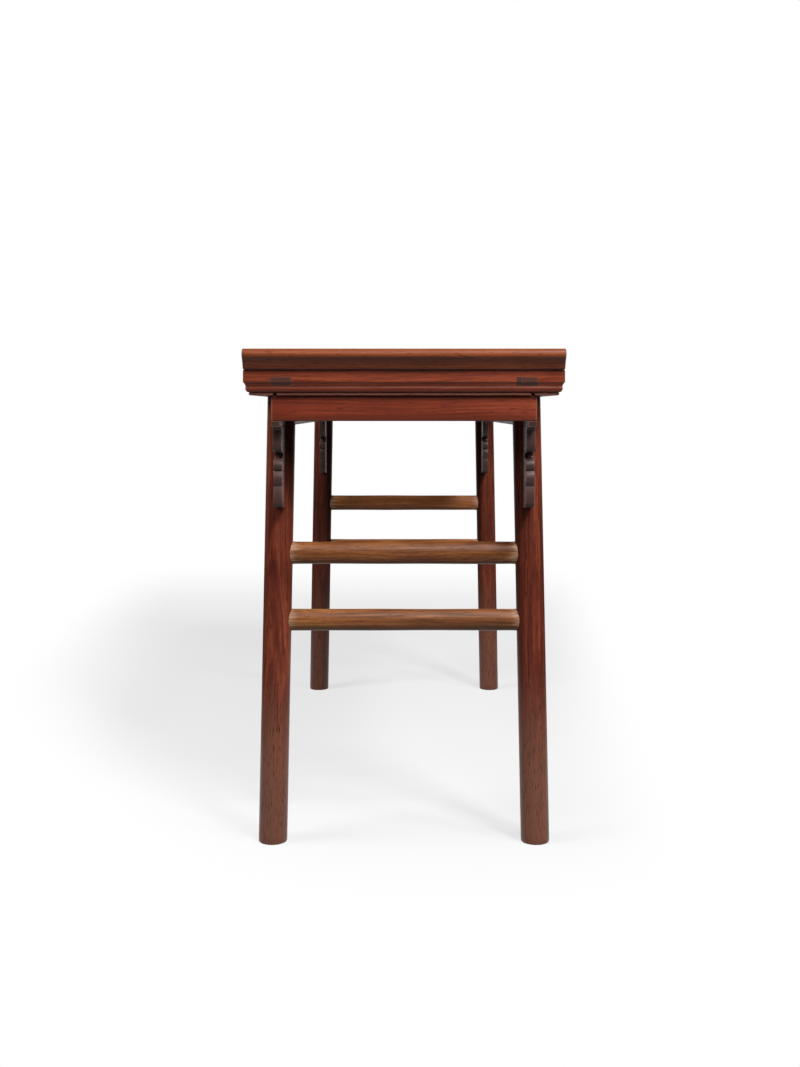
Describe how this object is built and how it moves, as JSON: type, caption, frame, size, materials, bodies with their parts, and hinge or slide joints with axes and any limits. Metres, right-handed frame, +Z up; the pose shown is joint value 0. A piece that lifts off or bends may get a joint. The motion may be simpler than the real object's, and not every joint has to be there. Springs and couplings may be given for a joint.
{
  "type": "altar table",
  "caption": "Long narrow altar table with upturned end flanges, a framed panel top, round splayed legs, oval end stretchers and cloud-head spandrels.",
  "frame": {"origin": "on the floor, below the middle of the top", "axes": "+X along the table's length, +Y across it towards the back, +Z up"},
  "size_m": [1.436, 0.515, 0.827],
  "materials": {
    "panel_wood": "waxed satin, deep red-brown",
    "frame_wood": "waxed satin, red-brown",
    "flange_wood": "waxed satin, worn orange-brown on the roll",
    "batten_wood": "thinly lacquered underside",
    "apron_wood": "waxed satin, red-brown",
    "spandrel_wood": "waxed satin, dark grey-brown on the cut edges",
    "leg_wood": "waxed satin, dark red-brown",
    "stretcher_wood": "waxed satin, golden brown",
    "wedge_wood": "dark end grain"
  },
  "bodies": {
    "root": {"top_panel": "panel_wood", "tenon_wedges": "wedge_wood", "front_frame_rail": "frame_wood", "front_apron": "apron_wood", "back_frame_rail": "frame_wood", "back_apron": "apron_wood", "panel_batten_1": "batten_wood", "panel_batten_2": "batten_wood", "panel_batten_3": "batten_wood", "left_frame_end": "frame_wood", "left_end_flange": "flange_wood", "left_end_apron": "apron_wood", "left_upper_stretcher": "stretcher_wood", "left_lower_stretcher": "stretcher_wood", "front_left_leg": "leg_wood", "front_left_spandrel": "spandrel_wood", "back_left_leg": "leg_wood", "back_left_spandrel": "spandrel_wood", "right_frame_end": "frame_wood", "right_end_flange": "flange_wood", "right_end_apron": "apron_wood", "right_upper_stretcher": "stretcher_wood", "right_lower_stretcher": "stretcher_wood", "front_right_leg": "leg_wood", "front_right_spandrel": "spandrel_wood", "back_right_leg": "leg_wood", "back_right_spandrel": "spandrel_wood"}
  },
  "joints": []
}
